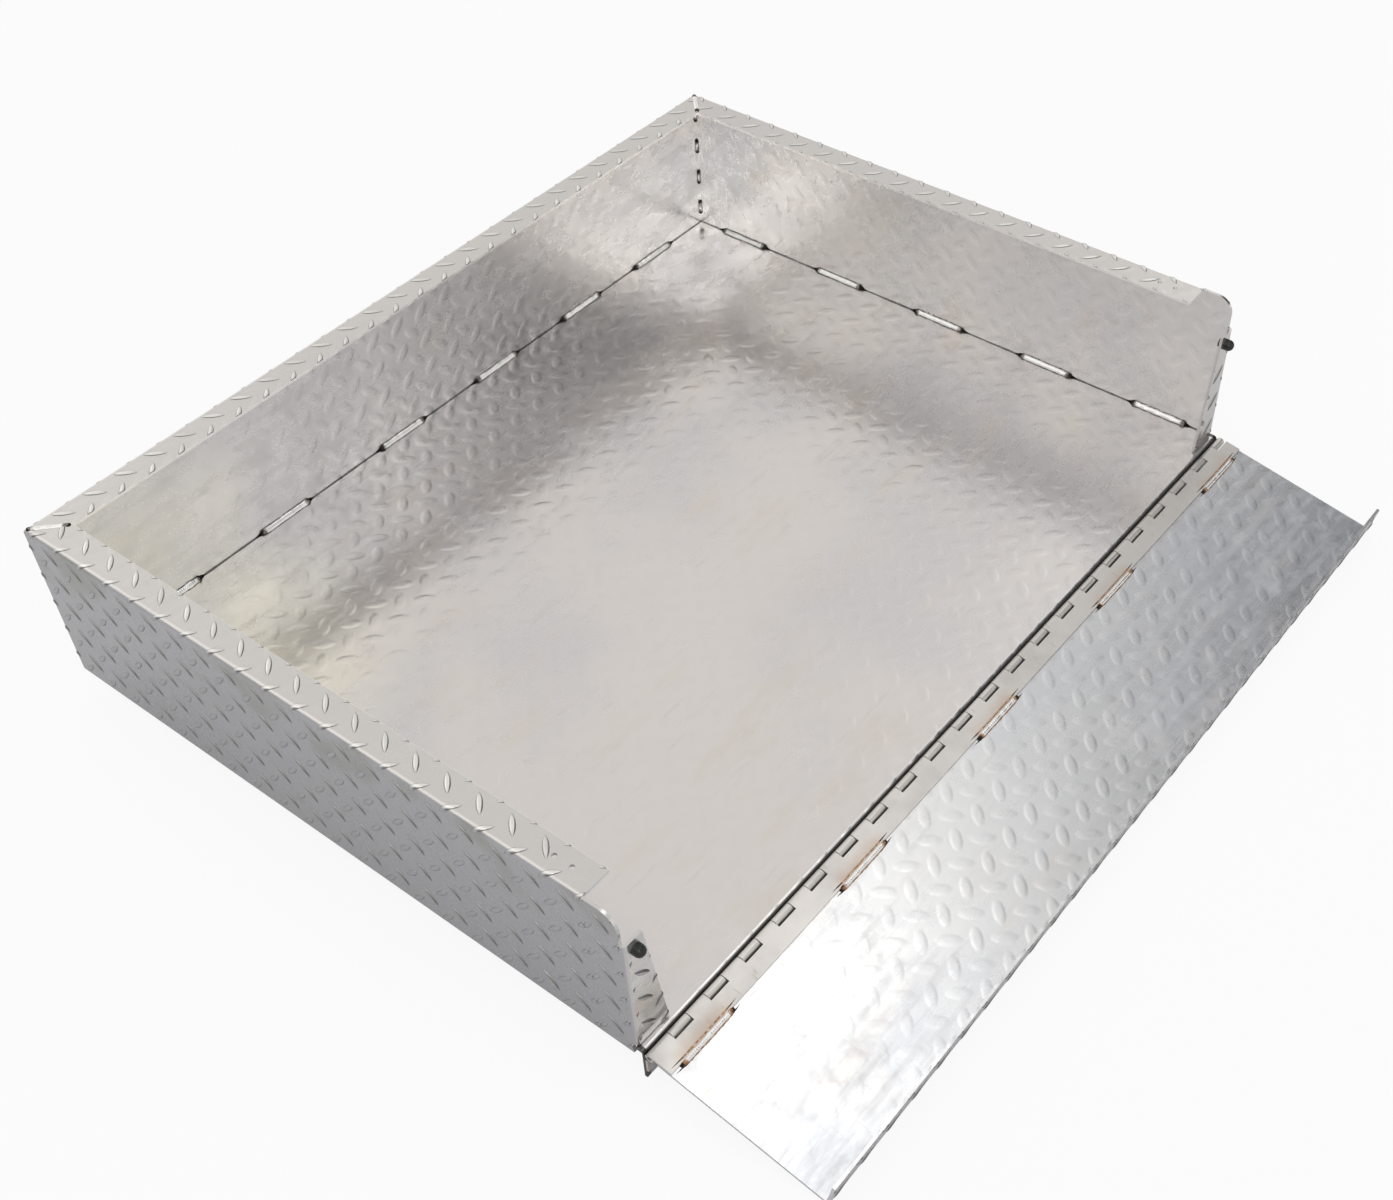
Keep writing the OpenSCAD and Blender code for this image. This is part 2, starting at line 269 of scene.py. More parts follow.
def reflection_patch_mark(centre, radius, tone, share):
    """A round, cloudy patch of another tone: a painted reflection of light."""
    def mark(shader, point, normal, colour):
        ends = {0: point, 1: centre}
        gap = shader.node("ShaderNodeVectorMath", output=1, inputs=ends, operation="DISTANCE")
        amount = shader.math("MULTIPLY", shader.remap(gap, 0.3 * radius, radius, share, 0.0),
                             shader.remap(shader.noise(point, 9.0, 3.0), 0.25, 0.6, 0.5, 1.0))
        return shader.blend(amount, colour, shade(tone))
    return mark


def seam_shade_mark(shader, point, normal, colour):
    """Painted shade in the seams between the floor and the three walls."""
    side_gap = shader.math("SUBTRACT", HALF_W - SHEET, shader.math("ABSOLUTE", axis_of(shader, point, 0)))
    back_gap = shader.math("SUBTRACT", BACK - SHEET, axis_of(shader, point, 1))
    gap = shader.math("MINIMUM", side_gap, back_gap)
    uneven = shader.math("MULTIPLY", shader.noise(point, 60.0, 3.0), 2.2 * MM)
    seam_shade_amount = shader.remap(shader.math("SUBTRACT", gap, uneven), 0.0, 1.1 * MM, 0.92, 0.0)
    return shader.blend(seam_shade_amount, colour, SEAM_SHADE)


def valley_shade_mark(shader, point, normal, colour):
    """Painted black shade on the lower half of the floor's front bend, in the valley over the hinge's
    barrel.
    """
    y, z = axis_of(shader, point, 1), axis_of(shader, point, 2)
    front = shader.remap(y, floor_low.y + 1.5 * MM, floor_low.y + 2.6 * MM, 1.0, 0.0)
    deep = shader.remap(z, FLOOR_Z - 16 * MM, FLOOR_Z - 10 * MM, 0.0, 0.94)
    return shader.blend(shader.math("MULTIPLY", front, deep), colour, VALLEY_SHADE)


def outside_mark(axis, sign):
    """The tread side of a wall is darker where it faces outward, painted shade along with a duller finish,
    with faint greenish patches, and its lip is warmer. axis and sign say which way the outside faces."""
    def mark(shader, point, normal, colour):
        outward = shader.remap(shader.math("MULTIPLY", axis_of(shader, normal, axis), sign), 0.6, 0.9)
        # Painted shade: outward faces darkened towards the outside tone.
        colour = shader.blend(shader.math("MULTIPLY", outward, 0.8), colour, shade(OUTSIDE_SHADE_TONE))
        upward = shader.remap(axis_of(shader, normal, 2), 0.6, 0.9, 0.0, 0.7)
        colour = shader.blend(upward, colour, LIP_TONE)
        high = shader.remap(axis_of(shader, point, 2), TOP_Z - 90 * MM, TOP_Z - 20 * MM)
        patches = shader.remap(shader.noise(point, 12.0, 2.0), 0.50, 0.66, 0.0, 0.6)
        olive = shader.math("MULTIPLY", shader.math("MULTIPLY", outward, high), patches)
        return shader.blend(olive, colour, OLIVE_TONE)
    return mark


def edge_highlight_mark(axis, limit, sign):
    """Bright inner edge of a lip: sheared metal with a painted highlight."""
    def mark(shader, point, normal, colour):
        past = shader.math("SUBTRACT", axis_of(shader, point, axis), limit)
        past = shader.math("MULTIPLY", past, sign)
        high = shader.math("GREATER_THAN", axis_of(shader, point, 2), TOP_Z - SHEET - 0.2 * MM)
        bright = shader.math("MULTIPLY", shader.remap(past, -0.4 * MM, 0.0), high)
        # Painted highlight along the lip's inner edge.
        return shader.blend(bright, colour, EDGE_HIGHLIGHT_TONE)
    return mark


def lug_material():
    """Raised lugs, with grime and painted shade round their feet and crowns rubbed brighter. Upright faces
    get a duller painted shade, darkest where a normal's y and z have opposite signs."""
    shader = Shader("tread_lugs", Metallic=0.95, Specular_IOR_Level=0.5)
    point = shader.node("ShaderNodeTexCoord", output=OBJECT_POINT)
    crown = shader.node("ShaderNodeAttribute", output=ATTRIBUTE_VALUE, attribute_name="crown")
    patches = shader.noise(point, 14.0, 4.0, 0.6)
    specks = shader.noise(point, 600.0, 2.0, 0.6)
    # Painted shade with grime: darker towards each lug's foot.
    foot_shade = shader.remap(crown, 0.15, 0.60, 0.45, 0.0)
    rub = shader.math("MULTIPLY", shader.remap(crown, 0.45, 0.95),
                      shader.remap(patches, 0.3, 0.6, 0.35, 1.0))
    colour = shader.blend(rub, (0.66, 0.655, 0.645, 1), (0.88, 0.87, 0.85, 1))
    normal = shader.node("ShaderNodeTexCoord", output=OBJECT_NORMAL)
    tilt = shader.math("MULTIPLY", axis_of(shader, normal, 1), axis_of(shader, normal, 2))
    # Painted shade on upright faces, darkest on flanks that lean one way.
    upright_shade = shader.remap(axis_of(shader, normal, 2), 0.45, 0.85, 0.9, 0.0)
    shaded = shader.math("MULTIPLY", upright_shade, shader.remap(tilt, -0.09, -0.02, 1.0, 0.0))
    colour = shader.blend(upright_shade, colour, (0.52, 0.525, 0.54, 1))
    colour = shader.blend(shaded, colour, (0.17, 0.16, 0.145, 1))
    shader.set("Base Color", shader.blend(foot_shade, colour, (0.27, 0.26, 0.235, 1)))
    shader.set("Roughness", shader.remap(rub, 0.0, 1.0, 0.42, 0.26))
    shader.set("Normal", shader.bump(specks, 0.15, 0.2 * MM))
    return shader.material


STRIP_TONE = (0.76, 0.73, 0.70)
RUB_TONE = (0.46, 0.42, 0.37, 1)
HEAT_TONE = (0.60, 0.44, 0.32, 1)


def hinge_material(name, heat=False):
    """Hinge strip: lengthwise grain, dull film, rub marks and, beside the stitch welds, a tan heat tint."""
    shader = Shader(name, Metallic=0.9, Specular_IOR_Level=0.5)
    point = shader.node("ShaderNodeTexCoord", output=OBJECT_POINT)
    grain = shader.noise(shader.stretch(point, (3.0, 420.0, 420.0)), 5.0, 3.0, 0.6)
    film = shader.noise(point, 18.0, 4.0, 0.6)
    marks = shader.noise(shader.stretch(point, (40.0, 12.0, 12.0)), 4.0, 2.0, 0.5)
    patches = shader.remap(film, 0.45, 0.75, 0.0, 0.6)
    colour = shader.blend(patches, shade(STRIP_TONE), shade(STRIP_TONE, 0.80))
    colour = shader.blend(shader.remap(marks, 0.66, 0.76, 0.0, 0.4), colour, RUB_TONE)
    if heat:
        stitches = runs_of("hinge_welds_gate", 0)
        pitch = stitches[1][0] - stitches[0][0]
        middle = sum(stitches[0]) / 2
        along = shader.math("DIVIDE", shader.math("SUBTRACT", axis_of(shader, point, 0), middle), pitch)
        cycle = shader.math("FRACT", shader.math("ADD", along, 0.5))
        away = shader.math("ABSOLUTE", shader.math("SUBTRACT", cycle, 0.5))
        near = shader.remap(away, 0.10, 0.19, 1.0, 0.0)
        outward = shader.remap(shader.math("SUBTRACT", AXIS.y, axis_of(shader, point, 1)), 8 * MM, 25 * MM)
        amount = shader.math("MULTIPLY", shader.math("MULTIPLY", near, outward),
                             shader.remap(film, 0.3, 0.6, 0.15, 0.6))
        colour = shader.blend(amount, colour, HEAT_TONE)
    shader.set("Base Color", colour)
    shader.set("Roughness", shader.remap(film, 0.3, 0.7, 0.36, 0.50))
    shader.set("Normal", shader.bump(grain, 0.18, 0.3 * MM))
    return shader.material


def pin_material():
    shader = Shader("hinge_pin_steel", Metallic=0.95, Specular_IOR_Level=0.5)
    point = shader.node("ShaderNodeTexCoord", output=OBJECT_POINT)
    rust = shader.noise(point, 90.0, 4.0, 0.7)
    lines = shader.noise(shader.stretch(point, (4.0, 500.0, 500.0)), 4.0, 2.0, 0.5)
    steel, brown = (0.22, 0.21, 0.20, 1), (0.20, 0.12, 0.07, 1)
    shader.set("Base Color", shader.blend(shader.remap(rust, 0.5, 0.72), steel, brown))
    shader.set("Roughness", shader.remap(rust, 0.35, 0.7, 0.35, 0.7))
    shader.set("Normal", shader.bump(lines, 0.2, 0.2 * MM))
    return shader.material


def rubber_material():
    shader = Shader("bumper_rubber", Specular_IOR_Level=0.45)
    point = shader.node("ShaderNodeTexCoord", output=OBJECT_POINT)
    dust = shader.noise(point, 160.0, 4.0, 0.65)
    skin = shader.noise(point, 1400.0, 2.0, 0.5)
    black, dusty = (0.012, 0.012, 0.013, 1), (0.09, 0.085, 0.08, 1)
    shader.set("Base Color", shader.blend(shader.remap(dust, 0.5, 0.8, 0.0, 0.5), black, dusty))
    shader.set("Roughness", shader.remap(dust, 0.3, 0.7, 0.22, 0.45))
    shader.set("Normal", shader.bump(skin, 0.25, 0.15 * MM))
    return shader.material


def weld_material(name, tint):
    """Bright rippled bead. Its soot attribute, soot at the ends and soot with painted shade along the toes,
    turns it to the tint and then to black.
    """
    shader = Shader(name, Metallic=0.9, Specular_IOR_Level=0.5)
    point = shader.node("ShaderNodeTexCoord", output=OBJECT_POINT)
    soot = shader.node("ShaderNodeAttribute", output=ATTRIBUTE_VALUE, attribute_name="soot")
    smoke = shader.remap(shader.noise(point, 260.0, 4.0, 0.7), 0.30, 0.66, -0.20, 0.22)
    fine = shader.noise(point, 900.0, 2.0, 0.6)
    smoke = shader.math("MULTIPLY", smoke, shader.remap(soot, 0.05, 0.4))
    amount = shader.math("ADD", soot, smoke, clamp=True)
    bright, black = (0.93, 0.925, 0.91, 1), (0.035, 0.032, 0.03, 1)
    colour = shader.blend(shader.remap(amount, 0.12, 0.5), bright, shade(tint))
    colour = shader.blend(shader.remap(amount, 0.55, 0.85), colour, black)
    shader.set("Base Color", colour)
    shader.set("Roughness", shader.remap(amount, 0.2, 0.8, 0.26, 0.75))
    shader.set("Normal", shader.bump(fine, 0.3, 0.2 * MM))
    return shader.material


# ---------------------------------------------------------------- pieces

def new_piece(name, verts, faces, material, body, attribute, values):
    """One smooth mesh that rides a body. attribute names the values, one to a vertex, for its material."""
    mesh = bpy.data.meshes.new(name)
    mesh.from_pydata([tuple(v) for v in verts], [], faces)
    layer = mesh.attributes.new(attribute, "FLOAT", "POINT")
    layer.data.foreach_set("value", np.asarray(values, np.float32))
    mesh.polygons.foreach_set("use_smooth", [True] * len(mesh.polygons))
    mesh.materials.append(material)
    mesh.update()
    piece = bpy.data.objects.new(name, mesh)
    bpy.context.scene.collection.objects.link(piece)
    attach(piece, body)
    return piece


def lug_grid(steps_long, steps_wide):
    """Points (along, across, height, crown) and faces of one pointed, domed lug with a closed underside."""
    points, faces = [], []
    for i in range(steps_long + 1):
        p = math.sin(math.pi * (i / steps_long - 0.5))
        half = LUG_WIDTH / 2 * (1 - abs(p) ** 2.2) + 0.15 * MM
        for j in range(steps_wide + 1):
            q = 2 * j / steps_wide - 1
            rise = (1 - abs(p) ** 4) * (1 - abs(q) ** 2.4)
            points.append((p * LUG_LENGTH / 2, q * half, -LUG_SINK + (LUG_HEIGHT + LUG_SINK) * rise, rise))
    row = steps_wide + 1
    for i in range(steps_long):
        for j in range(steps_wide):
            a = i * row + j
            faces.append((a, a + row, a + row + 1, a + 1))
    rim = list(range(row)) + [i * row + steps_wide for i in range(1, steps_long + 1)]
    rim += [steps_long * row + j for j in range(steps_wide - 1, -1, -1)]
    rim += [i * row for i in range(steps_long - 1, 0, -1)]
    faces.append(tuple(rim))
    return np.array(points), faces


def clip_to(points, faces, limits):
    """Cuts a closed lug, in sheet coordinates, back to the half-planes in limits, and caps the cuts."""
    bm = bmesh.new()
    crown = bm.verts.layers.float.new("crown")
    verts = []
    for t, s, h, value in points:
        vert = bm.verts.new((t, s, h))
        vert[crown] = value
        verts.append(vert)
    for face in faces:
        bm.faces.new([verts[i] for i in face])
    for (t, s), (nt, ns) in limits:
        geometry = bm.verts[:] + bm.edges[:] + bm.faces[:]
        bmesh.ops.bisect_plane(bm, geom=geometry, dist=1e-7, plane_co=(t, s, 0), plane_no=(nt, ns, 0),
                               clear_outer=True)
        if not bm.faces:
            break
        edges = [e for e in bm.edges if e.is_boundary]
        if edges:
            bmesh.ops.holes_fill(bm, edges=edges)
    bm.verts.index_update()
    kept = [(*v.co, v[crown]) for v in bm.verts]
    polygons = [tuple(v.index for v in f.verts) for f in bm.faces]
    bm.free()
    return kept, polygons


def tread(span_t, span_s, place, limits=(), phase=(0.0, 0.0), skip=(), fineness=(8, 4)):
    """Lugs of one sheet. t and s are its flat coordinates, and place(t, s, h) puts a point h above its
    face. limits are (point, outward normal) half-planes besides the sheet's own rectangle. phase is the
    centre of one lug. skip lists the (t, s, radius) round holes that lugs keep off."""
    (t0, t1), (s0, s1) = span_t, span_s
    grid, faces = lug_grid(*fineness)
    planes = [((t0, s0), (-1, 0)), ((t1, s1), (1, 0)), ((t0, s0), (0, -1)), ((t1, s1), (0, 1)), *limits]
    verts, polygons, crowns = [], [], []
    half = PITCH / 2
    for i in range(math.floor((t0 - phase[0]) / half) - 1, math.ceil((t1 - phase[0]) / half) + 2):
        for j in range(math.floor((s0 - phase[1]) / half) - 1, math.ceil((s1 - phase[1]) / half) + 2):
            if (i + j) % 2:
                continue
            centre = (phase[0] + i * half, phase[1] + j * half)
            lean = 1.0 if i % 2 == 0 else -1.0
            margins = [(point[0] - centre[0]) * nt + (point[1] - centre[1]) * ns
                       for point, (nt, ns) in planes]
            scale = [math.hypot(*n) for _, n in planes]
            room = min(m / k for m, k in zip(margins, scale))
            reach = LUG_LENGTH / 2
            if room < -reach or any(math.dist(centre, (t, s)) < r + reach * 0.6 for t, s, r in skip):
                continue
            turned = np.empty_like(grid)
            turned[:, 0] = centre[0] + (grid[:, 0] - lean * grid[:, 1]) / math.sqrt(2)
            turned[:, 1] = centre[1] + (lean * grid[:, 0] + grid[:, 1]) / math.sqrt(2)
            turned[:, 2:] = grid[:, 2:]
            points, used = turned.tolist(), faces
            if room <= reach:
                points, used = clip_to(points, faces, planes)
            base = len(verts)
            verts += [place(t, s, h) for t, s, h, _ in points]
            crowns += [c for *_, c in points]
            polygons += [tuple(base + k for k in face) for face in used]
    return verts, polygons, crowns


def bent_sheet(origin, along, up, out, straight):
    """Maps a sheet that runs straight up for a length, bends over and goes on as a lip, away from out."""
    origin, along, up, out = (Vector(v) for v in (origin, along, up, out))

    def place(t, s, h):
        base = origin + along * t
        if s <= straight:
            return base + up * s + out * h
        if s <= straight + ARC:
            turn = (s - straight) / BEND
            centre = base + up * straight - out * BEND
            return centre + (out * math.cos(turn) + up * math.sin(turn)) * (BEND + h)
        return base + up * (straight + BEND + h) - out * (BEND + s - straight - ARC)

    return place


def joined(parts):
    """One mesh's verts, faces and values out of several."""
    verts, faces, values = [], [], []
    for more_verts, more_faces, more_values in parts:
        base = len(verts)
        verts += more_verts
        faces += [tuple(base + i for i in face) for face in more_faces]
        values += more_values
    return verts, faces, values


def add_tread(name, parts, body, material):
    verts, faces, crowns = joined(parts)
    return new_piece(name, verts, faces, material, body, "crown", crowns)


# ---------------------------------------------------------------- tread on each sheet

STRAIGHT = TOP_Z - WALL_Z - BEND             # a wall's web up to its bend
DEVELOPED = STRAIGHT + ARC + LIP - BEND
LIP_START = FRONT + 43 * MM                  # front end of the side walls' lips
TOP_FLAT = STRAIGHT + ARC - BEND     # developed height of the lip's outer edge
EDGE = 0.4 * MM                              # bare rim left by the shear
FLANGE = 44 * MM                             # width of a side wall's end flange
FLANGE_TOP = 37 * MM                         # how far its top lies under the wall's
FLANGE_TAPER = 20 * MM                       # how much narrower it is at the top
HOLES = (70 * MM, 90 * MM)                   # bolt holes in a lip, from the wall's front
HOLE_CLEAR = 3 * MM
BUMPER_IN = 14 * MM                          # bumper hole, from the flange's outer and top edges
BUMPER_CLEAR = 7 * MM
PANEL_START = 9.6 * MM                       # the gate panel's edge, out from the pin


def side_tread(side, material):
    """Outer face, lip and end flange of one side wall. side is -1 on the left."""
    name = "tread_side_left" if side < 0 else "tread_side_right"
    place = bent_sheet((side * HALF_W, 0, WALL_Z), (0, 1, 0), (0, 0, 1), (side, 0, 0), STRAIGHT)
    phase = (BACK - 35 * MM, TOP_FLAT + 22 * MM)
    mitre = ((BACK - BEND, STRAIGHT + ARC), (1, 1))
    corner = ((FRONT + BEND + 6 * MM, TOP_Z - WALL_Z - 6 * MM), (-1, 1))
    holes = [(FRONT + y, STRAIGHT + ARC + (LIP + SHEET) / 2 - BEND, HOLE_CLEAR) for y in HOLES]
    lipped = tread((LIP_START, BACK - EDGE), (EDGE, DEVELOPED - EDGE), place, [mitre], phase, holes)
    open_top = (EDGE, TOP_Z - WALL_Z - EDGE)
    plain = tread((FRONT + BEND + EDGE, LIP_START), open_top, flat_wall(place), [corner], phase)
    low, high = FLOOR_Z + 2 * MM, TOP_Z - FLANGE_TOP
    face = bent_sheet((0, FRONT, 0), (side, 0, 0), (0, 0, 1), (0, -1, 0), TOP_Z)
    taper = ((HALF_W - FLANGE, low), (-(high - low), FLANGE_TAPER))
    bumper = [(HALF_W - BUMPER_IN, high - BUMPER_IN, BUMPER_CLEAR)]
    flange = tread((HALF_W - FLANGE, HALF_W - BEND), (low, high), face, [taper],
                   (HALF_W - 18 * MM, low + 20 * MM), bumper)
    parts = [lipped, plain, flange]
    return add_tread(name, parts, "tray", material)


def flat_wall(place):
    """The same wall where it has no lip and runs straight to its top edge."""
    def flat(t, s, h):
        point = place(t, 0.0, h)
        return point + Vector((0, 0, s))
    return flat


def headboard_tread(material):
    place = bent_sheet((0, BACK, WALL_Z), (1, 0, 0), (0, 0, 1), (0, 1, 0), STRAIGHT)
    mitres = [((side * (HALF_W - BEND), STRAIGHT + ARC), (side, 1)) for side in (-1, 1)]
    part = tread((-HALF_W + EDGE, HALF_W - EDGE), (EDGE, DEVELOPED - EDGE), place, mitres,
                 (-HALF_W + 1 * MM, TOP_FLAT + 14 * MM))
    return add_tread("tread_headboard", [part], "tray", material)


def floor_tread(material):
    """Underside of the floor, clear of the runners' legs."""
    def place(t, s, h):
        return Vector((t, s, floor_high.z - SHEET - h))
    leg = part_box("runner_left")[0].x
    gap = 6 * MM
    spans = [(-HALF_W + SHEET + EDGE, leg - gap), (leg + SHEET + gap, -leg - SHEET - gap),
             (-leg + gap, HALF_W - SHEET - EDGE)]
    phase = (-HALF_W, FRONT)
    depth = (FRONT + gap, BACK - SHEET - EDGE)
    parts = [tread(span, depth, place, (), phase, (), (6, 2)) for span in spans]
    return add_tread("tread_floor", parts, "tray", material)


def gate_tread(material):
    straight = GATE_LENGTH - BEND
    inner = bent_sheet((0, 0, PANEL_OUTER), (1, 0, 0), (0, -1, 0), (0, 0, -1), straight)

    def place(t, s, h):
        return AXIS + GATE_TURN @ inner(t, s, h)
    end = straight + ARC + LIP - BEND
    part = tread((-HALF_W + EDGE, HALF_W - EDGE), (PANEL_START + EDGE, end - EDGE), place, (),
                 (-HALF_W + 15 * MM, 20 * MM))
    return add_tread("tread_gate", [part], "gate", material)


# ---------------------------------------------------------------- welds

RIPPLE = 2.6 * MM                    # pitch of a bead's ripples
BEAD_STEP = 0.65 * MM                # length of a bead's mesh rings
BEAD_ARCS = 10
WANDER_RINGS = 8                     # rings between two draws of a bead's size
SOOTY_END = 12 * MM
CRUST_REACH = 7 * MM                 # how far a crust goes on past its bead
CRUST_STEP = 1.6 * MM
CRUST_SECTION = ((0.0, 0.30), (0.75, 0.22), (1.0, -0.05), (0.0, -0.10))    # share of width, height in mm
FLOOR_LEG, TACK_LEG, RUNNER_LEG = 5.3 * MM, 3.0 * MM, 4.4 * MM
MITRE_BEAD = (3.2 * MM, 2.8 * MM)
TRAY_LEAF_BEAD = (2.4 * MM, 2.6 * MM)
GATE_LEAF_BEAD = (3.2 * MM, 3.1 * MM)


def bead(start, end, side_a, side_b, leg, seed, swing=90, soot_floor=0.0, stained=True):
    """One hand-laid stitch from start to end in the corner between two faces. side_a and side_b point along
    the faces, away from the corner, and leg is its size along each. swing is how far the section turns, in
    degrees, from side_a. Returns verts, faces and soot."""
    rng = random.Random(seed)
    start, end, side_a, side_b = (Vector(v) for v in (start, end, side_a, side_b))
    leg_a, leg_b = leg
    length = (end - start).length
    along = (end - start).normalized()
    steps = max(12, round(length / BEAD_STEP))
    arcs = BEAD_ARCS
    drift = [rng.uniform(-0.10, 0.10) for _ in range(steps // WANDER_RINGS + 3)]
    verts, soot, faces = [], [], []
    for i in range(steps + 1):
        x = length * i / steps
        k = i / WANDER_RINGS
        wander = drift[int(k)] * (1 - k % 1) + drift[int(k) + 1] * (k % 1)
        end_gap = min(x, length - x) / (1.1 * max(leg_a, leg_b))
        taper = math.sqrt(max(0.0, 1 - max(0.0, 1 - end_gap) ** 2))
        for j in range(arcs + 1):
            angle = math.radians(swing) * j / arcs
            bow = abs(j / arcs - 0.5) * 2
            ripple = 1 - ((x + 1.6 * MM * bow ** 2) / RIPPLE) % 1.0
            middle = 1 - bow ** 2
            size = taper * (1.02 + wander + 0.14 * middle * (ripple - 0.5)) * (1 - 0.12 * middle)
            point = start + along * x + side_a * (size * leg_a * math.cos(angle))
            verts.append(point + side_b * (size * leg_b * math.sin(angle)))
            dark = max(0.0, 1 - min(x, length - x) / SOOTY_END)
            # Soot at the ends; the darkening at both edges of the section is painted shade at the bead's
            # toes, with soot.
            soot.append(min(1.0, max(soot_floor, 1.15 * dark ** 1.3, 0.8 * bow ** 4)))
    row = arcs + 1
    for i in range(steps):
        for j in range(arcs):
            a = i * row + j
            faces.append((a, a + 1, a + row + 1, a + row))
    tail = len(verts)
    verts += [start, end]
    soot += [1.0, 1.0]
    last = steps * row
    faces.append((tail, tail + 1, last, *[i * row for i in range(steps - 1, -1, -1)]))
    faces.append((tail + 1, tail, *[i * row + arcs for i in range(steps + 1)]))
    faces += [(tail, j + 1, j) for j in range(arcs)]
    faces += [(tail + 1, last + j, last + j + 1) for j in range(arcs)]
    parts = [(verts, faces, soot)]
    if stained:
        parts.append(stain(start, end, side_a, side_b, leg_a + 0.5 * MM, rng))
        parts.append(stain(start, end, side_b, side_a, leg_b + 1.3 * MM, rng))
    return joined(parts)


def stain(start, end, across, normal, width, rng):
    """Thin sooty crust on one face under a bead, which shows beside it and past its ends."""
    along = (end - start).normalized()
    length = (end - start).length
    whole = length + 2 * CRUST_REACH
    steps = round(whole / CRUST_STEP)
    verts, soot, faces = [], [], []
    for i in range(steps + 1):
        x = -CRUST_REACH + whole * i / steps
        rounded = math.sin(math.pi * min(1.0, 0.04 + min(i, steps - i) / 14) / 2)
        wide = width * rounded * rng.uniform(0.82, 1.12)
        base = start + along * x
        for share, height in CRUST_SECTION:
            verts.append(base + across * (wide * share) + normal * (height * MM))
        outside = max(0.0, min(1.0, (min(x, length - x) + 1 * MM) / (-4 * MM)))
        near_end = max(0.0, 1 - abs(min(x, length - x)) / (9 * MM))
        soot += [min(1.0, 0.42 + 0.6 * max(outside, near_end))] * 4
    for i in range(steps):
        for j in range(4):
            a, b = i * 4 + j, i * 4 + (j + 1) % 4
            faces.append((a, b, b + 4, a + 4))
    faces.append((3, 2, 1, 0))
    faces.append(tuple(steps * 4 + j for j in range(4)))
    return verts, faces, soot


def runs_of(node, axis):
    """(start, end) along an axis of each separate solid in a CAD node, at rest."""
    mesh = frame["nodes"][node].data
    co = np.array([v.co for v in mesh.vertices])
    values = np.unique(np.round(co[:, axis], 6))
    spans = []
    for edge in mesh.edges:
        a, b = sorted(co[list(edge.vertices), axis])
        if b - a > 1 * MM:
            spans.append((round(float(a), 5), round(float(b), 5)))
    merged = []
    for a, b in sorted(set(spans)):
        if merged and a <= merged[-1][1] + 1e-6:
            merged[-1][1] = max(merged[-1][1], b)
        else:
            merged.append([a, b])
    return [tuple(m) for m in merged] or [(float(values[0]), float(values[-1]))]


def add_welds(node, beads, material, body="tray"):
    verts, faces, soot = joined(beads)
    piece = new_piece("bead_" + node, verts, faces, material, body, "soot", soot)
    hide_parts(node)
    return piece


def floor_welds(material):
    leg = (FLOOR_LEG, FLOOR_LEG)
    inner_y = BACK - SHEET
    beads = [bead((a, inner_y, FLOOR_Z), (b, inner_y, FLOOR_Z), (0, -1, 0), (0, 0, 1), leg, 10 + i)
             for i, (a, b) in enumerate(runs_of("floor_welds_back", 0))]
    add_welds("floor_welds_back", beads, material)
    for side, node in ((-1, "floor_welds_left"), (1, "floor_welds_right")):
        x = side * (HALF_W - SHEET)
        beads = [bead((x, a, FLOOR_Z), (x, b, FLOOR_Z), (-side, 0, 0), (0, 0, 1), leg, 30 + 10 * side + i)
                 for i, (a, b) in enumerate(runs_of(node, 1))]
        add_welds(node, beads, material)


def corner_tacks(material):
    for side, node in ((-1, "corner_tacks_left"), (1, "corner_tacks_right")):
        x, y = side * (HALF_W - SHEET), BACK - SHEET
        beads = [bead((x, y, a), (x, y, b), (-side, 0, 0), (0, -1, 0), (TACK_LEG, TACK_LEG),
                      60 + 10 * side + i, soot_floor=0.3, stained=False)
                 for i, (a, b) in enumerate(runs_of(node, 2))]
        add_welds(node, beads, material)


def mitre_welds(material):
    """Bead that stands proud of the mitre on top of the lips."""
    for side, node in ((-1, "mitre_weld_left"), (1, "mitre_weld_right")):
        corner = Vector((side * HALF_W, BACK, TOP_Z - 1.0 * MM))
        inward = Vector((-side, -1, 0)).normalized()
        across = Vector((side, -1, 0)).normalized()
        start, end = corner + inward * 3 * MM, corner + inward * (LIP * math.sqrt(2) - 2 * MM)
        beads = [bead(start, end, across, (0, 0, 1), MITRE_BEAD, 90 + side, 180, stained=False)]
        add_welds(node, beads, material)


def hinge_welds(bright, tinted):
    """Small fillets under the fixed leaf, and beads with crusts along the gate leaf's outer edge."""
    tray_z = AXIS.z - LEAF_WIDTH
    flange = floor_low.y
    beads = [bead((a, flange, tray_z), (b, flange, tray_z), (0, -1, 0), (0, 0, -1), TRAY_LEAF_BEAD,
                  110 + i, stained=False)
             for i, (a, b) in enumerate(runs_of("hinge_welds_tray", 0))]
    add_welds("hinge_welds_tray", beads, bright)
    out, up = GATE_TURN @ Vector((0, -1, 0)), GATE_TURN @ Vector((0, 0, 1))
    middle = LEAF_WIDTH + 1.0 * MM
    beads = [bead(on_gate(a, middle, PANEL_INNER), on_gate(b, middle, PANEL_INNER), out, up,
                  GATE_LEAF_BEAD, 130 + i, 180, stained=False)
             for i, (a, b) in enumerate(runs_of("hinge_welds_gate", 0))]
    for i, (a, b) in enumerate(runs_of("hinge_welds_gate", 0)):
        rng = random.Random(150 + i)
        near = [on_gate(x, LEAF_WIDTH - 3.4 * MM, 2 * PANEL_INNER) for x in (a, b)]
        far = [on_gate(x, LEAF_WIDTH + 2.6 * MM, PANEL_INNER) for x in (a, b)]
        beads.append(stain(*near, out, up, 1.9 * MM, rng))
        beads.append(stain(*far, out, up, 2.6 * MM, rng))
    add_welds("hinge_welds_gate", beads, tinted, "gate")


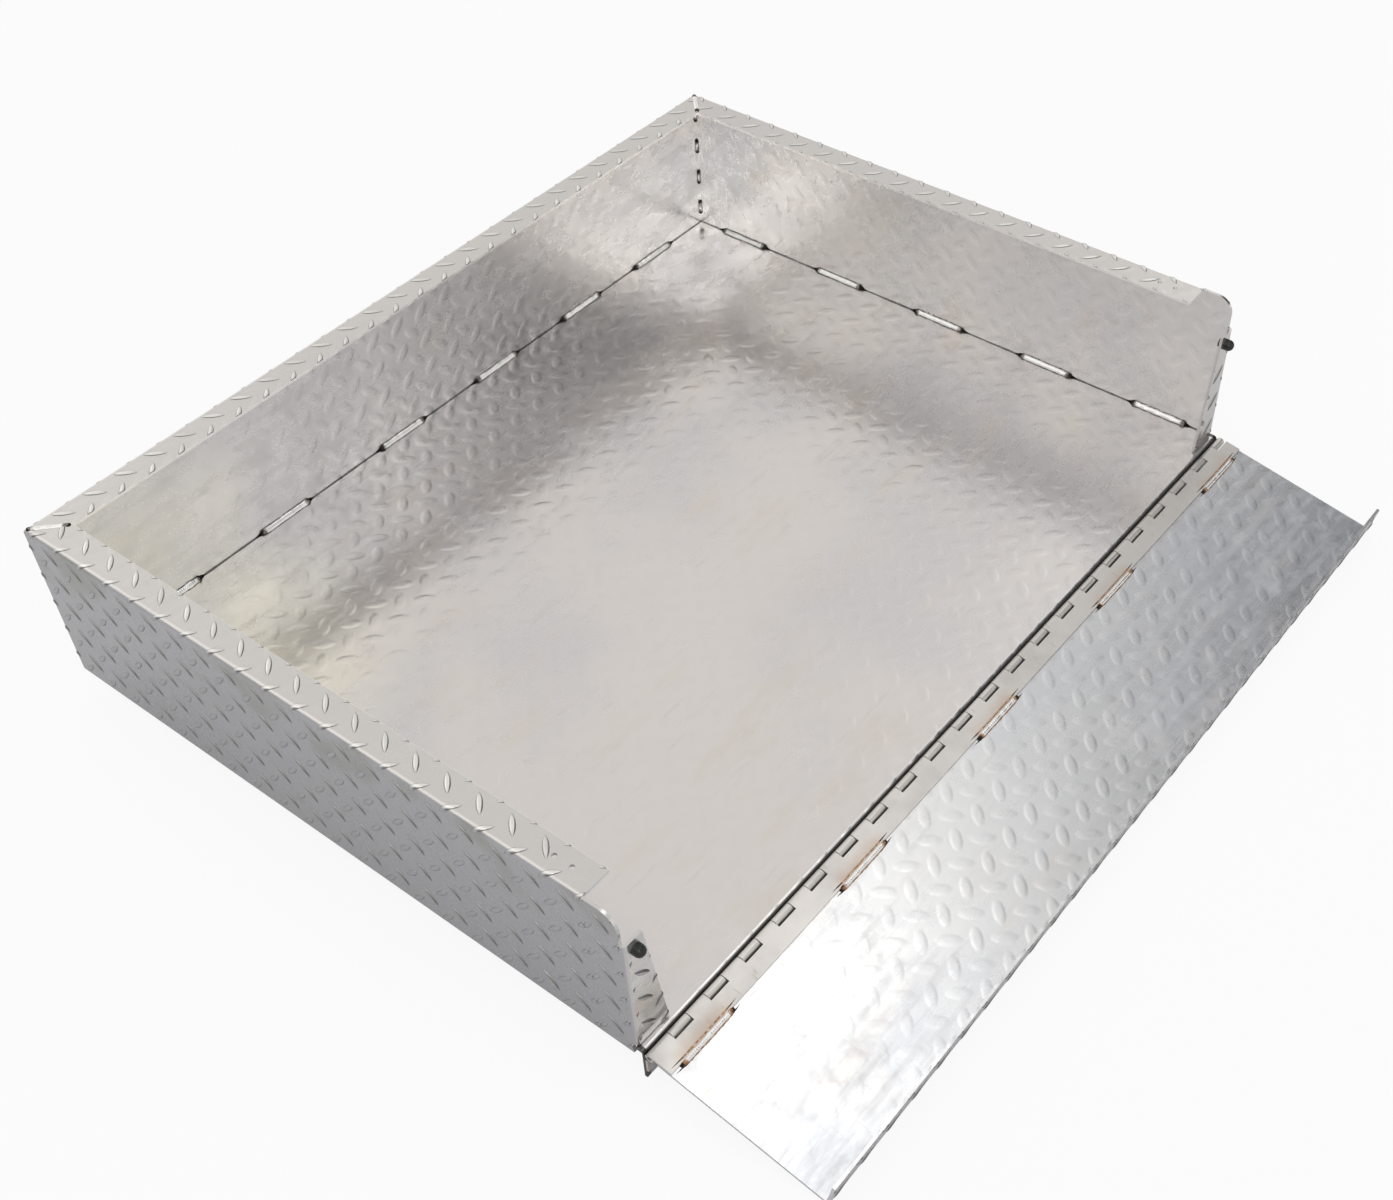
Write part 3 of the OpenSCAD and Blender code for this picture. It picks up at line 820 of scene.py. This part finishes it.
def runner_welds(material):
    z = floor_high.z - SHEET
    for side, node in ((-1, "runner_welds_left"), (1, "runner_welds_right")):
        x = side * -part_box("runner_left")[0].x
        beads = [bead((x, a, z), (x, b, z), (side, 0, 0), (0, 0, -1), (RUNNER_LEG, RUNNER_LEG),
                      160 + 10 * side + i)
                 for i, (a, b) in enumerate(runs_of(node, 1))]
        add_welds(node, beads, material)


# ---------------------------------------------------------------- stage, light and camera

STAGE_HALF = 14.0
STAGE_DROP = 1.4 * MM                # the floor lies just under the closed gate's lowest lugs


def add_stage():
    """Floor: near white to the camera with a faint shadow, and pale grey in the light it sends back."""
    mesh = bpy.data.meshes.new("studio_floor")
    corners = [(-1, -1), (1, -1), (1, 1), (-1, 1)]
    verts = [(x * STAGE_HALF, y * STAGE_HALF, -STAGE_DROP) for x, y in corners]
    mesh.from_pydata(verts, [], [(0, 1, 2, 3)])
    material = bpy.data.materials.new("studio_floor")
    material.use_nodes = True
    tree = material.node_tree
    tree.nodes.clear()
    output = tree.nodes.new("ShaderNodeOutputMaterial")
    seen, lit, glow, paint = (tree.nodes.new(kind) for kind in (
        "ShaderNodeLightPath", "ShaderNodeMixShader", "ShaderNodeEmission", "ShaderNodeBsdfDiffuse"))
    pale = tree.nodes.new("ShaderNodeMixShader")
    glow.inputs["Color"].default_value = (1, 1, 1, 1)
    glow.inputs["Strength"].default_value = 1.02
    paint.inputs["Color"].default_value = (0.66, 0.66, 0.68, 1)
    pale.inputs[0].default_value = 0.12
    tree.links.new(glow.outputs[0], pale.inputs[1])
    tree.links.new(paint.outputs[0], pale.inputs[2])
    tree.links.new(seen.outputs["Is Camera Ray"], lit.inputs[0])
    tree.links.new(paint.outputs[0], lit.inputs[1])
    tree.links.new(pale.outputs[0], lit.inputs[2])
    tree.links.new(lit.outputs[0], output.inputs["Surface"])
    mesh.materials.append(material)
    floor = bpy.data.objects.new("studio_floor", mesh)
    bpy.context.scene.collection.objects.link(floor)


def add_light(name, location, target, size, power):
    light = bpy.data.lights.new(name, "AREA")
    light.shape = "RECTANGLE"
    light.size, light.size_y = size
    light.energy = power
    lamp = bpy.data.objects.new(name, light)
    lamp.location = location
    lamp.rotation_euler = (Vector(target) - Vector(location)).to_track_quat("-Z", "Y").to_euler()
    bpy.context.scene.collection.objects.link(lamp)


DIM_SIDE = (0.78, -0.35, 0.52)       # the studio is dim towards here
SKY_TONES = ((-1.0, (0.52, 0.52, 0.53)), (-0.47, (0.55, 0.55, 0.555)), (-0.39, (0.98, 0.97, 0.96)),
             (0.0, (1.20, 1.17, 1.13)), (0.40, (0.80, 0.785, 0.765)), (0.74, (0.76, 0.75, 0.735)),
             (0.80, (1.05, 1.04, 1.02)), (0.865, (0.92, 0.92, 0.92)), (0.905, (0.44, 0.445, 0.46)),
             (0.94, (0.08, 0.082, 0.095)), (1.0, (0.02, 0.021, 0.026)))


def add_world():
    """Studio walls: a row of tones by the angle from the dim side, and one plain tone for the camera."""
    world = bpy.data.worlds.new("studio")
    world.use_nodes = True
    tree = world.node_tree
    tree.nodes.clear()
    output, seen, mix, sky, backdrop, coordinates, facing, ramp = (tree.nodes.new(kind) for kind in (
        "ShaderNodeOutputWorld", "ShaderNodeLightPath", "ShaderNodeMixShader", "ShaderNodeBackground",
        "ShaderNodeBackground", "ShaderNodeTexCoord", "ShaderNodeVectorMath", "ShaderNodeValToRGB"))
    facing.operation = "DOT_PRODUCT"
    facing.inputs[1].default_value = DIM_SIDE
    tree.links.new(coordinates.outputs["Generated"], facing.inputs[0])
    half = tree.nodes.new("ShaderNodeMath")
    half.operation = "MULTIPLY_ADD"
    half.inputs[1].default_value = 0.5
    half.inputs[2].default_value = 0.5
    tree.links.new(facing.outputs["Value"], half.inputs[0])
    tree.links.new(half.outputs[0], ramp.inputs[0])
    stops = ramp.color_ramp.elements
    stops[0].color, stops[1].color = (*SKY_TONES[0][1], 1), (*SKY_TONES[-1][1], 1)
    for position, tone in SKY_TONES[1:-1]:
        stops.new(position / 2 + 0.5).color = (*tone, 1)
    tree.links.new(ramp.outputs["Color"], sky.inputs["Color"])
    sky.inputs["Strength"].default_value = 1.0
    backdrop.inputs["Strength"].default_value = 1.0
    tree.links.new(seen.outputs["Is Camera Ray"], mix.inputs[0])
    tree.links.new(sky.outputs[0], mix.inputs[1])
    tree.links.new(backdrop.outputs[0], mix.inputs[2])
    tree.links.new(mix.outputs[0], output.inputs["Surface"])
    bpy.context.scene.world = world


CAMERA_PLACE = (-1.09575, -0.91354, 1.41463)
CAMERA_TURN = (42.8348, 1.3028, -52.1307)
CAMERA_LENS = 45.46
CAMERA_SHIFT = (-0.0503, 0.0574)


def add_camera():
    data = bpy.data.cameras.new("camera")
    data.sensor_width = 36
    data.lens = CAMERA_LENS
    data.shift_x, data.shift_y = CAMERA_SHIFT
    data.clip_start, data.clip_end = 0.05, 60
    camera = bpy.data.objects.new("camera", data)
    camera.location = CAMERA_PLACE
    camera.rotation_euler = Euler([math.radians(a) for a in CAMERA_TURN])
    bpy.context.scene.collection.objects.link(camera)
    bpy.context.scene.camera = camera


# ---------------------------------------------------------------- build

def dress(material, *nodes):
    """Gives CAD nodes one material."""
    for name in nodes:
        mesh = frame["nodes"][name].data
        mesh.materials.clear()
        mesh.materials.append(material)
        mesh.polygons.foreach_set("material_index", [0] * len(mesh.polygons))


# Painted reflections on the floor: a cream glow at the left back corner and a paler one at the right back.
cream_painted_reflection = reflection_patch_mark((-HALF_W + 70 * MM, BACK - 120 * MM, FLOOR_Z), 260 * MM, (0.98, 0.94, 0.82), 1.0)
pale_painted_reflection = reflection_patch_mark((HALF_W - 90 * MM, BACK - 75 * MM, FLOOR_Z), 180 * MM, (1.0, 0.965, 0.945), 1.0)
floor_plate = plate_material("plate_floor", (0.80, 0.765, 0.745), (-HALF_W, FRONT, FLOOR_Z), ghost=0.30,
                             rough=0.22, marks=[cream_painted_reflection, pale_painted_reflection, seam_shade_mark, valley_shade_mark])
dress(floor_plate, "floor_pan")
back_marks = [outside_mark(1, 1), edge_highlight_mark(1, BACK - LIP, -1)]
back_plate = plate_material("plate_headboard", origin=(-HALF_W, BACK, WALL_Z), ghost=0.22, seed=3.0,
                            marks=back_marks)
dress(back_plate, "headboard")
for wall_side, node in ((-1, "side_wall_left"), (1, "side_wall_right")):
    side_marks = [outside_mark(0, wall_side), edge_highlight_mark(0, wall_side * (HALF_W - LIP), -wall_side)]
    side_plate = plate_material("plate_" + node, origin=(wall_side * HALF_W, FRONT, WALL_Z), ghost=0.22,
                                seed=6.0 + wall_side, marks=side_marks)
    dress(side_plate, node)
gate_plate = plate_material("plate_gate", (0.81, 0.81, 0.81), tuple(AXIS), -GATE_DROOP, ghost=0.15,
                            rough=0.26, seed=9.0)
dress(gate_plate, "gate_panel")
dress(plate_material("plate_runner", ghost=0.0, seed=11.0), "runner_left", "runner_right")
dress(hinge_material("hinge_strip_gate", heat=True), "hinge_leaf_gate")
dress(hinge_material("hinge_strip_tray"), "hinge_leaf_tray")
dress(pin_material(), "hinge_pin")
dress(rubber_material(), "bumper_left", "bumper_right")

lugs = lug_material()
for wall_side in (-1, 1):
    side_tread(wall_side, lugs)
headboard_tread(lugs)
floor_tread(lugs)
gate_tread(lugs)

bright_weld = weld_material("weld_bright", (0.26, 0.24, 0.22))
tinted_weld = weld_material("weld_tinted", (0.46, 0.27, 0.15))
floor_welds(bright_weld)
corner_tacks(bright_weld)
mitre_welds(bright_weld)
hinge_welds(bright_weld, tinted_weld)
runner_welds(bright_weld)

add_stage()
add_world()
add_light("overhead", (0.75, -0.5, 3.2), (0, 0, 0.1), (1.2, 1.0), 4)
add_light("front_strip", (1.2, -1.6, 2.2), (0, -0.3, 0.05), (0.4, 1.2), 1.2)
add_light("rear_left", (-1.40, -1.15, 1.9), (0.45, 0.35, 0), (0.45, 0.45), 3.5)
add_camera()
bpy.context.scene.view_settings.view_transform = "Standard"
